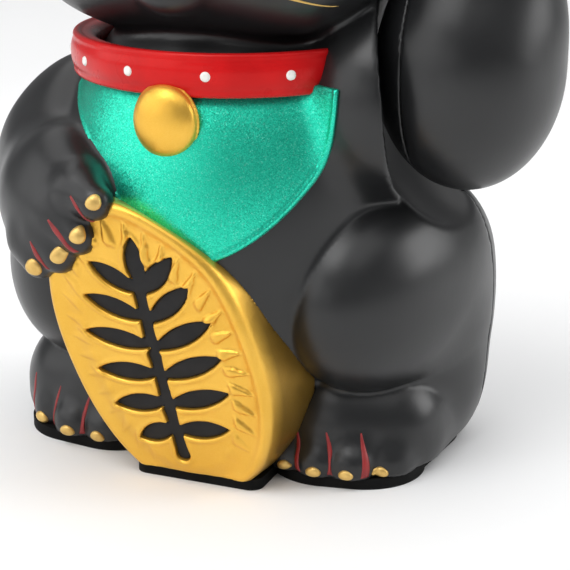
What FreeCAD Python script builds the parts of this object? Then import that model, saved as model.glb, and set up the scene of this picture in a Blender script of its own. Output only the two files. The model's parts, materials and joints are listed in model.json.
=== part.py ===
import FreeCAD, Part
import math
import os
from FreeCAD import Matrix, Placement, Rotation, Vector

# Battery-driven beckoning cat figurine. Millimetres, +Z up, the cat faces -Y and its left side is +X.
# The origin is the centre of the flat underside of the base. A two-part plastic shell hides a magnet
# pendulum on a cross axle. The raised left arm sits on the outer end of that axle and swings with it.

# Driving dimensions
HEIGHT = 200.0        # base underside to ear tips
BASE = 3.0            # thickness of the base plate's rim
WALL = 2.2            # wall of the body shells
ARM_WALL = 1.6        # wall of the raised arm
SEAM = 8.0            # Y of the joint between the front and rear shells
GAP = 0.3             # general clearance between separate pieces
PIVOT_Y = -8.0        # Y of the arm's axle
PIVOT_Z = 0.52 * HEIGHT
AXLE_R = 1.5
BEARING_GAP = 0.05    # radial running clearance of the axle
POCKET_GAP = 5.0      # how far the arm's pocket is larger than the arm, at its rim
BIG = 2.0 * HEIGHT    # side of the blocks that halve things

# Mechanism
LEVER_X = 12.0        # plane in which the pendulum swings
LEVER_HALF_T = 1.5
PEG_R = 2.0           # peg that holds the counterweight
MAGNET_R = 5.0
MAGNET_H = 5.0
MAGNET_GAP = 2.0      # air gap between magnet and coil
COIL_TOP = 31.0
BOARD_Z = 20.0
BOARD_T = 1.6
BOARD_SCREW_R = 0.95
POST_R = 2.6
BRACKET_T = 2.4       # thickness of the pivot bracket
PLATE_X = (0.0, 30.6)  # inner faces' side of the two bearing plates
COUNTERWEIGHT_Z = 56.0
COUNTERWEIGHT_R = 9.0
COUNTERWEIGHT_Y = PIVOT_Y + 6.1   # behind the axle, to balance the arm's forward lean

# Battery bay
CELL_R = 7.15
CELL_L = 49.2
CELL_Y = 17.0
DOOR_Z = 0.4          # the door is set in from the surface the cat stands on
DOOR_T = 2.0
BAY_WALL = 1.4
BAY_HALF_L = 28.2
BAY_HALF_W = 7.6
BAY_ROOF = 18.0
LEDGE = 2.2           # how far the door overlaps the bay's edge all round
HINGE_PIN_R = 0.8
COIN_FOOT_X = (-11.5, 17.0)   # the two rounded ends of the base plate's tongue under the coin
COIN_FOOT_Y = -42.8
COIN_FOOT_R = 3.5

# Screws
SCREW_R = 1.4
SCREW_HEAD_R = 2.6
BOSS_R = 3.6
BOSS_TOP = 18.0
BASE_SCREWS = [(-37.0, -14.0), (37.0, -14.0), (-38.0, 13.0), (38.0, 13.0)]
BRACKET_SCREWS_X = (5.0, 27.0)
BRACKET_SCREW_Z = 91.0


def ball(centre, radii, turn=(0.0, 0.0, 0.0)):
    """An ellipsoid: centre, three radii, and turns in degrees about X, then Y, then Z."""
    return ("ball", centre, radii, turn)


def limb(start, end, start_radius, end_radius):
    """A round-ended cone between two points."""
    return ("limb", start, end, start_radius, end_radius)


# The sculpted forms. Each one is fused into its neighbours.
CHEST = [
    ball((0.0, -9.0, 66.0), (46.0, 49.0, 64.0)),
    ball((0.0, 0.0, 84.0), (52.0, 35.0, 36.0)),
    ball((0.0, 8.0, 50.0), (50.0, 35.0, 54.0)),
    ball((44.0, -9.0, 100.0), (23.0, 33.0, 28.0)),
]
RUMP = [
    limb((-25.0, 16.0, 20.0), (25.0, 16.0, 20.0), 24.0, 24.0),
    limb((-16.0, -6.0, 14.0), (16.0, -6.0, 14.0), 25.0, 25.0),
    limb((14.0, 36.0, 16.0), (25.0, 38.0, 34.0), 8.0, 5.0),
]
PAW_ON_COIN = [
    ball((-45.0, -12.0, 77.0), (18.5, 21.0, 27.5), (0.0, 12.0, 0.0)),
    limb((-48.0, -17.0, 74.4), (-31.6, -41.6, 75.0), 15.6, 15.3),
    limb((-43.1, -30.6, 65.3), (-36.4, -45.1, 61.6), 12.3, 10.0),
    limb((-37.0, -42.0, 73.0), (-27.6, -51.3, 71.5), 13.4, 11.5),
    limb((-33.0, -45.0, 82.0), (-23.8, -53.0, 78.0), 7.8, 7.7),
    limb((-20.7, -58.7, 78.8), (-15.2, -62.2, 77.3), 5.9, 4.7),
    limb((-26.3, -56.9, 70.9), (-20.8, -60.4, 67.7), 5.9, 4.7),
    limb((-32.4, -55.5, 65.3), (-27.4, -59.0, 61.8), 5.9, 4.7),
    limb((-37.6, -54.1, 62.8), (-33.6, -57.6, 59.3), 5.9, 4.7),
]
HEAD = [
    ball((0.0, -12.0, 146.0), (50.0, 44.0, 39.0)),
    ball((-24.0, -30.0, 133.0), (21.0, 19.0, 15.0)),
    ball((24.0, -30.0, 133.0), (21.0, 19.0, 15.0)),
    ball((0.0, -49.0, 133.0), (15.0, 9.5, 9.0)),
]
ARM = [
    ball((62.5, -10.0, 107.0), (23.4, 26.8, 31.0)),
    limb((65.0, -8.0, 122.0), (70.5, -14.0, 160.0), 18.0, 15.5),
    ball((70.0, -18.0, 169.0), (16.0, 20.0, 17.5)),
]
ARM_SPLIT = 52.0      # X of the joint between the arm's shell and its inner cover
POCKET_RADII = (25.0 + POCKET_GAP, 33.0 + POCKET_GAP, 34.0 + POCKET_GAP)
POCKET = ball((66.0, PIVOT_Y, PIVOT_Z), POCKET_RADII)
LEG_OUT = {1: 0.0, -1: 2.5}      # how far a leg stands out to the side


def leg(side):
    """A haunch with the foot below it; side is -1 or 1."""
    out = LEG_OUT[side]
    return [
        ball((side * (42.0 + 0.8 * out), -7.0, 48.6), (22.9, 40.0, 29.8), (0.0, 0.0, -side * 12.0)),
        ball((side * 44.0, 8.0, 30.0), (20.5, 24.0, 26.0)),
        limb((side * 33.0, -17.0, 12.5), (side * (39.0 + out), -14.0, 11.5), 18.9, 17.9),
        limb((side * (42.5 + out), -12.5, 11.0), (side * (43.8 + out), 6.0, 13.5), 17.7, 18.5),
        limb((side * 25.5, -28.5, 6.5), (side * (41.0 + 0.3 * out), -28.0, 6.5), 9.0, 8.9),
        limb((side * 41.0, -28.0, 7.0), (side * (47.5 + out), -19.0, 7.0), 8.7, 8.8),
    ]


def ear(side):
    return limb((side * 28.0, -8.0, 168.0), (side * 35.0, -8.0, HEIGHT - 4.0), 16.0, 4.0)


BODY = CHEST + RUMP + PAW_ON_COIN + leg(-1) + leg(1) + HEAD + [ear(-1), ear(1)]

# Coin: a superellipse that leans forward, rolled to the cat's right, with flaring sides
COIN_CENTRE = Vector(-3.0, -54.5, 37.4)
COIN_LEAN = math.degrees(math.atan(0.2))
COIN_ROLL = -16.5
COIN_TURN = Rotation(Vector(1, 0, 0), COIN_LEAN) * Rotation(Vector(0, 1, 0), COIN_ROLL)
COIN_HALF_WIDTH = 26.7
COIN_HALF_LENGTH = 42.0
COIN_POWER = 2.24
COIN_DEPTH = 22.0
COIN_FLARE = 0.22
COIN_SKIN = 2.0
COIN_TRIM = Vector(0.572, 0.598, 0.562)      # faces out of the coin's levelled upper left corner
COIN_TRIM_OUT = 27.7                         # how far that corner's flat lies from the coin's centre

# Collar and bell
COLLAR_CENTRE = Vector(0.0, -12.0, 107.9)
COLLAR_R = 38.5
COLLAR_T = 3.6        # half of the collar's thickness
COLLAR_H = 5.4        # half of the collar's height
BELL_CENTRE = (0.0, -53.4, 96.1)
BELL_RADII = (8.7, 5.6, 8.3)
BELL_RIM = 0.6        # how far the bell's rim stands out, and half of its thickness

# Bib: a skin on the chest
BIB_T = 0.8
BIB_TOP = 105.0
BIB_HALF_WIDTH = 39.3
BIB_DROP = 44.0

ON_EDGE = Rotation(Vector(1, 0, 0), 90.0) * Rotation(Vector(0, 0, 1), 90.0)   # stands a flat ellipse upright


def make(form, grow=0.0):
    """One form as a solid, with every radius enlarged by grow."""
    if form[0] == "ball":
        centre, radii, turn = form[1:]
        stretch = Matrix()
        stretch.scale(radii[0] + grow, radii[1] + grow, radii[2] + grow)
        solid = Part.makeSphere(1.0).transformGeometry(stretch)
        about_x = Rotation(Vector(1, 0, 0), turn[0])
        about_y = Rotation(Vector(0, 1, 0), turn[1])
        about_z = Rotation(Vector(0, 0, 1), turn[2])
        solid.Placement = Placement(Vector(*centre), about_z * about_y * about_x)
        return solid
    start = Vector(*form[1])
    end = Vector(*form[2])
    return round_cone(start, end, form[3] + grow, form[4] + grow)


def round_cone(start, end, start_radius, end_radius):
    """Two spheres and the cone tangent to both, revolved from one profile."""
    length = (end - start).Length
    slope = math.asin((start_radius - end_radius) / length)

    def rim(radius, height, angle):
        return Vector(radius * math.cos(angle), 0.0, height + radius * math.sin(angle))

    bottom = Vector(0.0, 0.0, -start_radius)
    top = Vector(0.0, 0.0, length + end_radius)
    low_rim = rim(start_radius, 0.0, slope)
    high_rim = rim(end_radius, length, slope)
    low_middle = rim(start_radius, 0.0, (slope - math.pi / 2) / 2)
    high_middle = rim(end_radius, length, (slope + math.pi / 2) / 2)
    profile = Part.Wire([
        Part.Arc(bottom, low_middle, low_rim).toShape(),
        Part.LineSegment(low_rim, high_rim).toShape(),
        Part.Arc(high_rim, high_middle, top).toShape(),
        Part.LineSegment(top, bottom).toShape(),
    ])
    solid = Part.Face(profile).revolve(Vector(0, 0, 0), Vector(0, 0, 1), 360)
    if solid.Volume < 0:
        solid.reverse()
    solid.Placement = Placement(start, Rotation(Vector(0, 0, 1), end - start))
    return solid


def fuse(shapes):
    return shapes[0].multiFuse(shapes[1:])


def grown(forms, grow=0.0):
    return fuse([make(form, grow) for form in forms])


def box(x0, x1, y0, y1, z0, z1):
    return Part.makeBox(x1 - x0, y1 - y0, z1 - z0, Vector(x0, y0, z0))


def rod(start, end, radius):
    """A cylinder from one point to another."""
    start = Vector(*start)
    axis = Vector(*end) - start
    return Part.makeCylinder(radius, axis.Length, start, axis)


def slab(start, end, radius, z0, z1):
    """A flat plate: the outline of a circle moved from start to end, in plan."""
    start = Vector(start[0], start[1], z0)
    along = Vector(end[0], end[1], z0) - start
    height = z1 - z0
    ends = [Part.makeCylinder(radius, height, start), Part.makeCylinder(radius, height, start + along)]
    middle = Part.makeBox(along.Length, 2 * radius, height, Vector(0, -radius, 0))
    middle.Placement = Placement(start, Rotation(Vector(1, 0, 0), along))
    return fuse(ends + [middle])


def largest(shape):
    """The biggest solid of a cut, without its slivers and islands."""
    return max(shape.Solids, key=lambda solid: solid.Volume)


def front_half():
    return box(-BIG, BIG, -BIG, SEAM, -BIG, BIG)


def rear_half():
    return box(-BIG, BIG, SEAM, BIG, -BIG, BIG)


# ---------------------------------------------------------------- body shells

def base_boss(x, y):
    """Screw boss for the base plate, with a rib that ties it to the wall beside it."""
    wall_x = math.copysign(60.0, x)
    rib = box(min(x, wall_x), max(x, wall_x), y - 0.8, y + 0.8, BASE + 2.0, BOSS_TOP)
    return rod((x, y, BASE + 2.0), (x, y, BOSS_TOP), BOSS_R).fuse(rib)


def bracket_boss(x):
    return rod((x, PIVOT_Y + 13.5, BRACKET_SCREW_Z), (x, 60.0, BRACKET_SCREW_Z), BOSS_R)


def shell_halves(outer):
    """The two hollow halves of the body, with the arm's pocket and the screw bosses."""
    pocket = make(POCKET)
    axle_hole = rod((PLATE_X[1] + BRACKET_T, PIVOT_Y, PIVOT_Z), (45.0, PIVOT_Y, PIVOT_Z), 5.0)
    hollow = grown(BODY, -WALL).cut(make(POCKET, WALL))
    below = box(-BIG, BIG, -BIG, BIG, -BIG, BASE)
    skin = outer.cut(fuse([hollow, pocket, below, axle_hole]))
    bosses = [base_boss(x, y) for x, y in BASE_SCREWS]
    bosses += [bracket_boss(x) for x in BRACKET_SCREWS_X]
    holes = [rod((x, y, 0.0), (x, y, BOSS_TOP - 1.5), SCREW_R + BEARING_GAP) for x, y in BASE_SCREWS]
    holes += [
        rod((x, 0.0, BRACKET_SCREW_Z), (x, 17.0, BRACKET_SCREW_Z), SCREW_R + BEARING_GAP)
        for x in BRACKET_SCREWS_X
    ]
    inside = fuse(bosses).common(outer)
    front_bosses = [boss for boss in inside.Solids if boss.CenterOfMass.y < SEAM]
    rear_bosses = [boss for boss in inside.Solids if boss.CenterOfMass.y >= SEAM]
    front = fuse([skin.common(front_half())] + front_bosses).cut(fuse(holes))
    rear = fuse([skin.common(rear_half())] + rear_bosses).cut(fuse(holes))
    return largest(front), largest(rear)


# ---------------------------------------------------------------- trim on the front

def coin_outline(scale_x, scale_z, depth):
    """Closed superellipse curve in the coin's own frame, at a depth behind its face."""
    points = []
    for step in range(40):
        angle = 2 * math.pi * step / 40
        side = math.copysign(abs(math.cos(angle)) ** (2 / COIN_POWER), math.cos(angle))
        rise = math.copysign(abs(math.sin(angle)) ** (2 / COIN_POWER), math.sin(angle))
        points.append(Vector(scale_x * side, depth, scale_z * rise))
    curve = Part.BSplineCurve()
    curve.interpolate(points, PeriodicFlag=True)
    return Part.Wire(curve.toShape())


def coin_block(inset, face_depth):
    """The flaring block of the coin, its outline drawn in by inset and its upper left corner levelled."""
    rings = []
    for depth in (face_depth, COIN_DEPTH):
        flare = COIN_FLARE * depth - inset
        rings.append(coin_outline(COIN_HALF_WIDTH + flare, COIN_HALF_LENGTH + flare, depth))
    beyond = Part.makeBox(BIG, BIG, BIG, Vector(-BIG / 2, -BIG / 2, 0.0))
    corner = Placement(COIN_TRIM * (COIN_TRIM_OUT - inset), Rotation(Vector(0, 0, 1), COIN_TRIM))
    beyond.Placement = corner.multiply(beyond.Placement)
    solid = Part.makeLoft(rings, True, True).cut(beyond)
    solid.Placement = Placement(COIN_CENTRE, COIN_TURN)
    return solid


def koban_coin(outer):
    above_base = box(-BIG, BIG, -BIG, BIG, BASE, BIG)
    hollow = coin_block(COIN_SKIN, COIN_SKIN).cut(box(-BIG, BIG, -BIG, BIG, -BIG, BASE + COIN_SKIN))
    return largest(coin_block(0.0, 0.0).common(above_base).cut(outer).cut(hollow))


def collar_ring(outer, coin):
    """An oval-section ring round the neck, trimmed to the shells."""
    section = Part.Ellipse(Vector(0, 0, 0), COLLAR_H, COLLAR_T).toShape()
    section.Placement = Placement(COLLAR_CENTRE + Vector(COLLAR_R, 0, 0), ON_EDGE)
    ring = Part.Face(Part.Wire(section)).revolve(COLLAR_CENTRE, Vector(0, 0, 1), 360)
    if ring.Volume < 0:
        ring.reverse()
    return ring.cut(outer).cut(coin).cut(make(POCKET))


def bell_solid():
    """A domed bell with a thin rim."""
    x, y, z = BELL_CENTRE
    rim = rod((x, y + 0.3, z), (x, y + 0.3 + 2 * BELL_RIM, z), BELL_RADII[2] + BELL_RIM)
    return make(ball(BELL_CENTRE, BELL_RADII)).fuse(rim)


def bib_skin():
    """The chest enlarged by the bib's thickness, inside a rounded outline."""
    outline = Part.Ellipse(Vector(0, 0, 0), BIB_DROP, BIB_HALF_WIDTH).toShape()
    outline.Placement = Placement(Vector(0, -80.0, BIB_TOP), ON_EDGE)
    prism = Part.Face(Part.Wire(outline)).extrude(Vector(0, 66.0, 0))
    lower = prism.common(box(-BIG, BIG, -BIG, BIG, -BIG, BIB_TOP))
    return grown(CHEST, BIB_T).common(lower)


# ---------------------------------------------------------------- base and battery

def plate_outline():
    """The flat rim that carries the rump, both feet and the coin."""
    plates = [slab((-25.0, 16.0), (25.0, 16.0), 17.0, 0.0, BASE)]
    plates.append(box(-31.0, 31.0, -21.0, 16.0, 0.0, BASE))
    for side in (-1, 1):
        out = LEG_OUT[side]
        plates.append(slab((side * 31.0, -21.0), (side * (39.5 + out), -19.5), 16.3, 0.0, BASE))
        plates.append(slab((side * (40.5 + out), -14.0), (side * (42.5 + out), 6.0), 14.8, 0.0, BASE))
    front = COIN_FOOT_Y - COIN_FOOT_R
    for x in COIN_FOOT_X:
        plates.append(slab((x, COIN_FOOT_Y), (x, -20.0), COIN_FOOT_R, 0.0, BASE))
    plates.append(box(COIN_FOOT_X[0], COIN_FOOT_X[1], front, -20.0, 0.0, BASE))
    return plates


def base_plate():
    """The rim, a bay for the cell with its door recess, posts for the board, and screw holes."""
    ledge_top = DOOR_Z + DOOR_T + GAP + 2.5
    half_l = BAY_HALF_L + BAY_WALL
    half_w = BAY_HALF_W + BAY_WALL
    bay = box(-half_l, half_l, CELL_Y - half_w, CELL_Y + half_w, 0.0, BAY_ROOF + BAY_WALL)
    pad = box(-half_l - 2.6, half_l + 2.6, CELL_Y - half_w - 3.0, CELL_Y + half_w + 1.2, BASE, ledge_top)
    posts = [rod((x, y, BASE), (x, y, BOARD_Z), POST_R) for x, y in board_corners()]
    pads = [rod((x, y, BASE), (x, y, BASE + 2.0), BOSS_R) for x, y in BASE_SCREWS]
    solid = fuse(plate_outline() + [bay, pad] + posts + pads)
    cell_room = box(-BAY_HALF_L, BAY_HALF_L, CELL_Y - BAY_HALF_W, CELL_Y + BAY_HALF_W, -1.0, BAY_ROOF)
    door_room = box(
        -BAY_HALF_L - LEDGE, BAY_HALF_L + LEDGE,
        CELL_Y - BAY_HALF_W - LEDGE, CELL_Y + BAY_HALF_W + LEDGE, -1.0, DOOR_Z + DOOR_T + GAP)
    tab_slots = [
        box(x, x + 1.4, CELL_Y - 2.6, CELL_Y + 2.6, BAY_ROOF - 1.0, BAY_ROOF + 3.0)
        for x in (-BAY_HALF_L, BAY_HALF_L - 1.4)
    ]
    door_front = CELL_Y - BAY_HALF_W - LEDGE
    thumb = rod((0.0, door_front, -1.0), (0.0, door_front, 1.4), 5.0)
    hinge_y, hinge_z = door_hinge()
    pin_end = half_l + 2.2
    pin_holes = rod((-pin_end, hinge_y, hinge_z), (pin_end, hinge_y, hinge_z), HINGE_PIN_R + BEARING_GAP)
    cuts = [cell_room, door_room, thumb, pin_holes] + tab_slots
    for x, y in BASE_SCREWS:
        cuts.append(rod((x, y, -1.0), (x, y, 2.6), SCREW_HEAD_R + GAP))
        cuts.append(rod((x, y, -1.0), (x, y, 8.0), SCREW_R + 0.2))
    for x, y in board_corners()[::3]:
        cuts.append(rod((x, y, 8.0), (x, y, BOARD_Z + 1.0), BOARD_SCREW_R + BEARING_GAP))
    return solid.cut(fuse(cuts))


def door_hinge():
    """Y and Z of the battery door's hinge line."""
    return CELL_Y + BAY_HALF_W + LEDGE - GAP - DOOR_T / 2, DOOR_Z + DOOR_T / 2


def battery_door():
    """A lid with a rounded hinge edge, two hinge pins and three grip ridges."""
    hinge_y, hinge_z = door_hinge()
    half_l = BAY_HALF_L + LEDGE - GAP
    front = CELL_Y - BAY_HALF_W - LEDGE + GAP
    lid = box(-half_l, half_l, front, hinge_y, DOOR_Z, DOOR_Z + DOOR_T)
    edge = rod((-half_l, hinge_y, hinge_z), (half_l, hinge_y, hinge_z), DOOR_T / 2)
    pins = rod((-half_l - 1.2, hinge_y, hinge_z), (half_l + 1.2, hinge_y, hinge_z), HINGE_PIN_R)
    ridges = [
        box(-8.0, 8.0, front + 1.6 * row + 1.0, front + 1.6 * row + 1.7, DOOR_Z - 0.3, DOOR_Z)
        for row in range(3)
    ]
    return fuse([lid, edge, pins] + ridges)


def battery_cell():
    z = DOOR_Z + DOOR_T + 0.5 + CELL_R
    left = -CELL_L / 2
    can = rod((left, CELL_Y, z), (left + CELL_L, CELL_Y, z), CELL_R)
    nub = rod((left + CELL_L, CELL_Y, z), (left + CELL_L + 1.1, CELL_Y, z), 2.7)
    return can.fuse(nub)


def contact_positive():
    """A flat tag with a raised pip against the cell's nub, and a tab up through the bay's roof."""
    z = DOOR_Z + DOOR_T + 0.5 + CELL_R
    x = BAY_HALF_L - 0.5
    tag = box(x, x + 0.4, CELL_Y - 5.0, CELL_Y + 5.0, 4.0, 16.0)
    pip = rod((CELL_L / 2 + 1.1, CELL_Y, z), (x, CELL_Y, z), 1.8)
    tab = box(x, x + 0.4, CELL_Y - 2.0, CELL_Y + 2.0, 15.0, BAY_ROOF + 4.0)
    return fuse([tag, pip, tab])


def contact_negative():
    """A tag with a bent leaf that presses on the flat end of the cell."""
    x = -BAY_HALF_L + 0.1
    tag = box(x, x + 0.4, CELL_Y - 5.0, CELL_Y + 5.0, 4.0, 16.0)
    tab = box(x, x + 0.4, CELL_Y - 2.0, CELL_Y + 2.0, 15.0, BAY_ROOF + 4.0)
    touch = -CELL_L / 2
    corners = [(x + 0.4, 5.0), (touch, 10.0), (x + 1.4, 15.0)]
    front = [Vector(cx, CELL_Y - 3.0, cz) for cx, cz in corners]
    back = [Vector(cx - 0.4, CELL_Y - 3.0, cz) for cx, cz in reversed(corners)]
    leaf = Part.Face(Part.makePolygon(front + back + [front[0]])).extrude(Vector(0, 6.0, 0))
    return fuse([tag, tab, leaf])


def base_screws():
    """Four self-tapping screws up through the base plate."""
    screws = []
    for x, y in BASE_SCREWS:
        head = rod((x, y, 0.6), (x, y, 2.6), SCREW_HEAD_R)
        shank = rod((x, y, 2.6), (x, y, BOSS_TOP - 3.0), SCREW_R)
        slot = box(x - 1.8, x + 1.8, y - 0.4, y + 0.4, 0.0, 1.3)
        cross = box(x - 0.4, x + 0.4, y - 1.8, y + 1.8, 0.0, 1.3)
        screws.append(head.fuse(shank).cut(slot.fuse(cross)))
    return Part.makeCompound(screws)


# ---------------------------------------------------------------- drive board and coil

def board_corners():
    x0, x1 = LEVER_X - 17.0, LEVER_X + 17.0
    y0, y1 = PIVOT_Y - 13.0, PIVOT_Y + 9.0
    return [(x0, y0), (x1, y0), (x0, y1), (x1, y1)]


def circuit_board():
    x0, y0 = board_corners()[0]
    x1, y1 = board_corners()[3]
    board = box(x0 - 2.8, x1 + 2.8, y0 - 2.8, y1 + 2.8, BOARD_Z, BOARD_Z + BOARD_T)
    holes = [rod((x, y, BOARD_Z - 1), (x, y, BOARD_Z + 3), 1.1) for x, y in board_corners()[::3]]
    return board.cut(fuse(holes))


def board_screws():
    screws = []
    top = BOARD_Z + BOARD_T
    for x, y in board_corners()[::3]:
        head = rod((x, y, top), (x, y, top + 1.3), 1.9)
        shank = rod((x, y, 9.0), (x, y, top), BOARD_SCREW_R)
        slot = box(x - 2.0, x + 2.0, y - 0.3, y + 0.3, top + 0.7, top + 2.0)
        screws.append(head.fuse(shank).cut(slot))
    return Part.makeCompound(screws)


def coil_bobbin():
    x, y = LEVER_X, PIVOT_Y
    bottom = BOARD_Z + BOARD_T
    flanges = [rod((x, y, z), (x, y, z + 1.0), 11.0) for z in (bottom, COIL_TOP - 1.0)]
    core = rod((x, y, bottom), (x, y, COIL_TOP), 4.0)
    return fuse(flanges + [core]).cut(rod((x, y, 0.0), (x, y, 99.0), 2.4))


def drive_coil():
    x, y = LEVER_X, PIVOT_Y
    bottom = BOARD_Z + BOARD_T + 1.05
    top = COIL_TOP - 1.05
    return rod((x, y, bottom), (x, y, top), 10.0).cut(rod((x, y, 0.0), (x, y, 99.0), 4.05))


def transistor():
    """A half-round package on three legs."""
    x, y = LEVER_X - 14.0, PIVOT_Y
    top = BOARD_Z + BOARD_T
    body = rod((x, y, top + 2.5), (x, y, top + 7.5), 2.4).cut(box(x - 5, x - 1.2, y - 5, y + 5, 0, 99))
    legs = [box(x - 0.25, x + 0.25, y + dy - 0.25, y + dy + 0.25, top, top + 2.6) for dy in (-1.27, 0, 1.27)]
    return fuse([body] + legs)


def capacitor():
    x, y = LEVER_X + 14.5, PIVOT_Y - 7.0
    top = BOARD_Z + BOARD_T
    can = rod((x, y, top), (x, y, top + 7.0), 2.5)
    groove = rod((x, y, top + 1.2), (x, y, top + 1.6), 4.0).cut(rod((x, y, 0), (x, y, 99), 2.3))
    return can.cut(groove)


# ---------------------------------------------------------------- pivot and pendulum

def pivot_bracket():
    """A U-shaped frame: a back web and two plates with the axle's bearings."""
    back = PIVOT_Y + 13.5
    left = PLATE_X[0]
    right = PLATE_X[1] + BRACKET_T
    web = box(left, right, back - 2.5, back, 86.0, PIVOT_Z + 7.0)
    plates = []
    for x in PLATE_X:
        arm = box(x, x + BRACKET_T, PIVOT_Y, back, PIVOT_Z - 6.0, PIVOT_Z + 6.0)
        plates.append(arm.fuse(rod((x, PIVOT_Y, PIVOT_Z), (x + BRACKET_T, PIVOT_Y, PIVOT_Z), 6.0)))
    bearing = rod((left - 1, PIVOT_Y, PIVOT_Z), (right + 1, PIVOT_Y, PIVOT_Z), AXLE_R + BEARING_GAP)
    holes = [
        rod((x, 0.0, BRACKET_SCREW_Z), (x, back + 1, BRACKET_SCREW_Z), SCREW_R + 0.2)
        for x in BRACKET_SCREWS_X
    ]
    return fuse([web] + plates).cut(fuse([bearing] + holes))


def bracket_screws():
    face = PIVOT_Y + 11.0
    z = BRACKET_SCREW_Z
    screws = []
    for x in BRACKET_SCREWS_X:
        head = rod((x, face - 1.8, z), (x, face, z), 2.4)
        shank = rod((x, face, z), (x, 15.0, z), SCREW_R)
        slot = box(x - 1.8, x + 1.8, face - 3.0, face - 1.0, z - 0.4, z + 0.4)
        cross = box(x - 0.4, x + 0.4, face - 3.0, face - 1.0, z - 1.8, z + 1.8)
        screws.append(head.fuse(shank).cut(slot.fuse(cross)))
    return Part.makeCompound(screws)


AXLE_ENDS = (PLATE_X[0] - 3.0, 49.0)
HUB = (LEVER_X - 3.0, LEVER_X + 3.0)


def arm_axle():
    start = (AXLE_ENDS[0], PIVOT_Y, PIVOT_Z)
    end = (AXLE_ENDS[1], PIVOT_Y, PIVOT_Z)
    return rod(start, end, AXLE_R)


def axle_clip():
    """Push-on ring that stops the axle from sliding out."""
    x = PLATE_X[0] - GAP - 1.0
    ring = rod((x, PIVOT_Y, PIVOT_Z), (x + 1.0, PIVOT_Y, PIVOT_Z), 3.5)
    return ring.cut(rod((x - 1, PIVOT_Y, PIVOT_Z), (x + 2, PIVOT_Y, PIVOT_Z), AXLE_R))


def pendulum_lever():
    """A hub on the axle, a flat bar, a cup for the magnet and a lug for the counterweight."""
    cup_bottom = COIL_TOP + MAGNET_GAP + 1.0
    magnet_top = COIL_TOP + MAGNET_GAP + MAGNET_H
    x0, x1 = LEVER_X - LEVER_HALF_T, LEVER_X + LEVER_HALF_T
    y, z = COUNTERWEIGHT_Y, COUNTERWEIGHT_Z
    hub = rod((HUB[0], PIVOT_Y, PIVOT_Z), (HUB[1], PIVOT_Y, PIVOT_Z), 5.0)
    bar = box(x0, x1, PIVOT_Y - 3.0, PIVOT_Y + 3.0, magnet_top + 1.0, PIVOT_Z)
    cup = rod((LEVER_X, PIVOT_Y, cup_bottom), (LEVER_X, PIVOT_Y, magnet_top + 2.0), MAGNET_R + 1.4)
    lug = rod((x0, y, z), (x1, y, z), 7.0)
    peg = rod((x1, y, z), (x1 + 9.0, y, z), PEG_R)
    solid = fuse([hub, bar, cup, lug, peg])
    magnet_room = rod((LEVER_X, PIVOT_Y, 0.0), (LEVER_X, PIVOT_Y, magnet_top), MAGNET_R)
    axle_room = rod((0.0, PIVOT_Y, PIVOT_Z), (30.0, PIVOT_Y, PIVOT_Z), AXLE_R)
    return solid.cut(magnet_room).cut(axle_room)


def drive_magnet():
    bottom = COIL_TOP + MAGNET_GAP
    return rod((LEVER_X, PIVOT_Y, bottom), (LEVER_X, PIVOT_Y, bottom + MAGNET_H), MAGNET_R)


def counterweight():
    """A steel slug on the lever's peg."""
    x = LEVER_X + LEVER_HALF_T
    y, z = COUNTERWEIGHT_Y, COUNTERWEIGHT_Z
    slug = rod((x, y, z), (x + 8.0, y, z), COUNTERWEIGHT_R)
    return slug.cut(rod((x - 1.0, y, z), (x + 9.0, y, z), PEG_R))


# ---------------------------------------------------------------- raised arm

def arm_pieces():
    """The hollow arm: a long outer shell and an inner cover that carries the hub."""
    outer = grown(ARM)
    skin = outer.cut(grown(ARM, -ARM_WALL))
    inner_side = box(-BIG, ARM_SPLIT, -BIG, BIG, -BIG, BIG)
    outer_side = box(ARM_SPLIT, BIG, -BIG, BIG, -BIG, BIG)
    hub = rod((PLATE_X[1] + BRACKET_T + 0.6, PIVOT_Y, PIVOT_Z), (AXLE_ENDS[1], PIVOT_Y, PIVOT_Z), 4.0)
    bore = rod((0.0, PIVOT_Y, PIVOT_Z), (AXLE_ENDS[1], PIVOT_Y, PIVOT_Z), AXLE_R)
    cover = largest(skin.common(inner_side)).fuse(hub).cut(bore)
    shell = largest(skin.common(outer_side))
    return cover, shell


# ---------------------------------------------------------------- wires

def wire_tube(points, radius=0.65):
    """A tube along straight runs joined by tangent arcs, as large as the runs allow."""
    points = [Vector(*point) for point in points]
    edges = []
    here = points[0]
    for before, corner, after in zip(points, points[1:], points[2:]):
        back = before - corner
        ahead = after - corner
        reach = 0.45 * min(back.Length, ahead.Length)
        back.normalize()
        ahead.normalize()
        start = corner + back * reach
        end = corner + ahead * reach
        half_turn = (math.pi - back.getAngle(ahead)) / 2
        bend = reach / math.tan(half_turn)
        inward = back + ahead
        inward.normalize()
        centre = corner + inward * math.hypot(reach, bend)
        middle = centre - inward * bend
        edges.append(Part.LineSegment(here, start).toShape())
        edges.append(Part.Arc(start, middle, end).toShape())
        here = end
    edges.append(Part.LineSegment(here, points[-1]).toShape())
    path = Part.Wire(edges)
    along = points[1] - points[0]
    section = Part.Wire(Part.makeCircle(radius, points[0], along))
    return path.makePipeShell([section], True, False)


def battery_wire(side):
    """From a contact's tab, over the bay's roof, down to the board; side is -1 or 1."""
    tab_x = side * (BAY_HALF_L - 0.3) - (0.85 if side > 0 else -0.85)
    pad_x = LEVER_X + side * 14.0
    board = BOARD_Z + BOARD_T
    return wire_tube([
        (tab_x, CELL_Y, BAY_ROOF + 3.0),
        (tab_x, CELL_Y - 1.0, BAY_ROOF + 9.0),
        ((tab_x + pad_x) / 2, CELL_Y - 7.0, board + 8.0),
        (pad_x, PIVOT_Y + 8.0, board + 7.5),
        (pad_x, PIVOT_Y + 8.0, board),
    ])


# ---------------------------------------------------------------- build and export

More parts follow.
